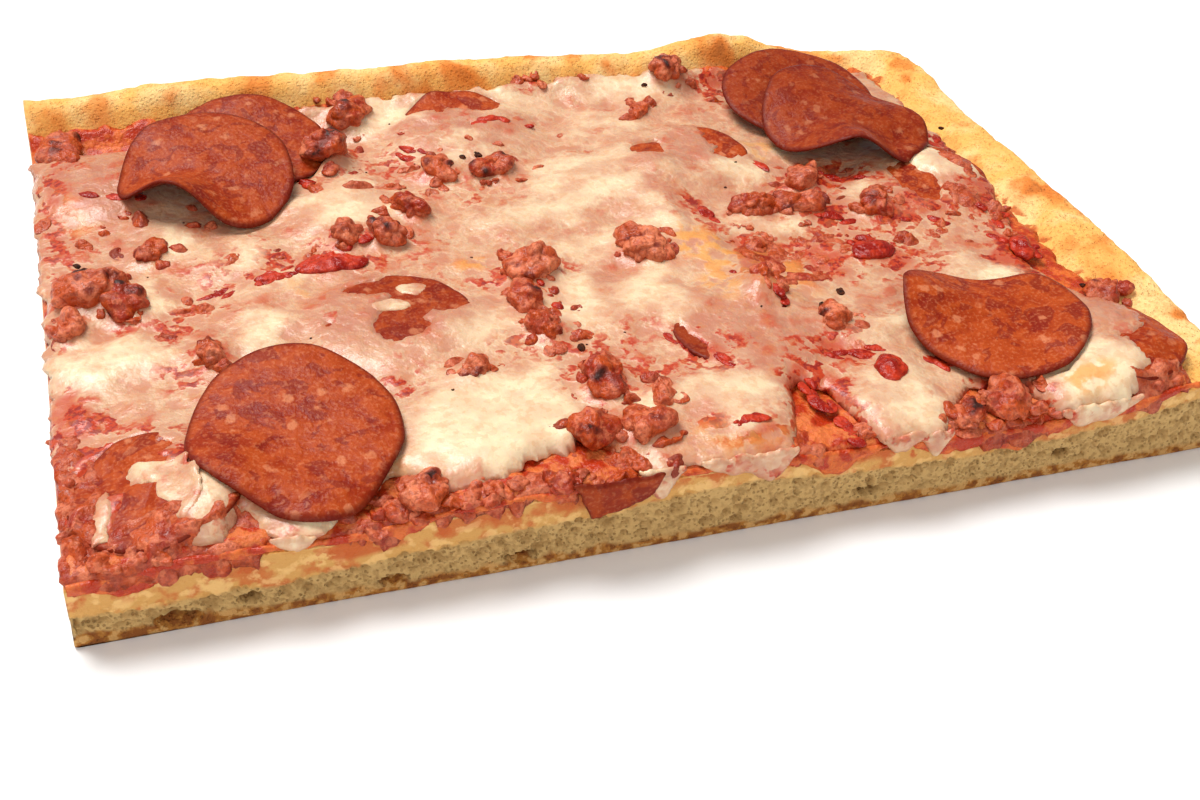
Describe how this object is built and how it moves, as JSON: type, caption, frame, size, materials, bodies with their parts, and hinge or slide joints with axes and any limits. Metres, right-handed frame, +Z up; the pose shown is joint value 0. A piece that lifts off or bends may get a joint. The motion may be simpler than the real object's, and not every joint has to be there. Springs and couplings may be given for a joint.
{
  "type": "sausage pepperoni pizza",
  "caption": "Rectangular piece of thick-crust pizza with raised crust on two sides, cut crumb on the others, melted cheese, sausage crumbles and curled pepperoni.",
  "frame": {"origin": "centre of the part's bounding rectangle, on the flat base that it rests on", "axes": "+X along the cut front edge towards the crust on the right, +Y towards the crust at the back, +Z up"},
  "size_m": [0.228, 0.1622, 0.0294],
  "materials": {
    "crust": "baked dough, golden and dry, with an open pale crumb at the cut sides",
    "sauce": "moist tomato sauce, orange where oil pools",
    "cheese": "melted cheese, cream where thick and pink where thin, oily",
    "pepperoni": "cured sausage slice, mottled red with fat flecks, satin with oil",
    "sausage": "crumbled cooked sausage, rough and moist, browned at the tips",
    "tomato": "cooked tomato, wet"
  },
  "bodies": {
    "root": {"dough": "crust", "sauce": "sauce", "cheese": "cheese", "pepperoni_01": "pepperoni", "pepperoni_02": "pepperoni", "pepperoni_03": "pepperoni", "pepperoni_04": "pepperoni", "pepperoni_05": "pepperoni", "pepperoni_06": "pepperoni", "pepperoni_07": "pepperoni", "pepperoni_08": "pepperoni", "pepperoni_09": "pepperoni", "pepperoni_10": "pepperoni", "pepperoni_11": "pepperoni", "pepperoni_12": "pepperoni", "pepperoni_13": "pepperoni", "pepperoni_14": "pepperoni", "pepperoni_15": "pepperoni", "sausage_01": "sausage", "sausage_02": "sausage", "sausage_03": "sausage", "sausage_04": "sausage", "sausage_05": "sausage", "sausage_06": "sausage", "sausage_07": "sausage", "sausage_08": "sausage", "sausage_09": "sausage", "sausage_10": "sausage", "sausage_11": "sausage", "sausage_12": "sausage", "sausage_13": "sausage", "sausage_14": "sausage", "sausage_15": "sausage", "sausage_16": "sausage", "sausage_17": "sausage", "sausage_18": "sausage", "sausage_19": "sausage", "sausage_20": "sausage", "sausage_21": "sausage", "sausage_22": "sausage", "sausage_23": "sausage", "sausage_24": "sausage", "sausage_25": "sausage", "sausage_26": "sausage", "sausage_27": "sausage", "sausage_28": "sausage", "sausage_29": "sausage", "sausage_30": "sausage", "sausage_31": "sausage", "sausage_32": "sausage", "sausage_33": "sausage", "sausage_34": "sausage", "tomato_01": "tomato", "tomato_02": "tomato", "tomato_03": "tomato", "tomato_04": "tomato"}
  },
  "joints": []
}
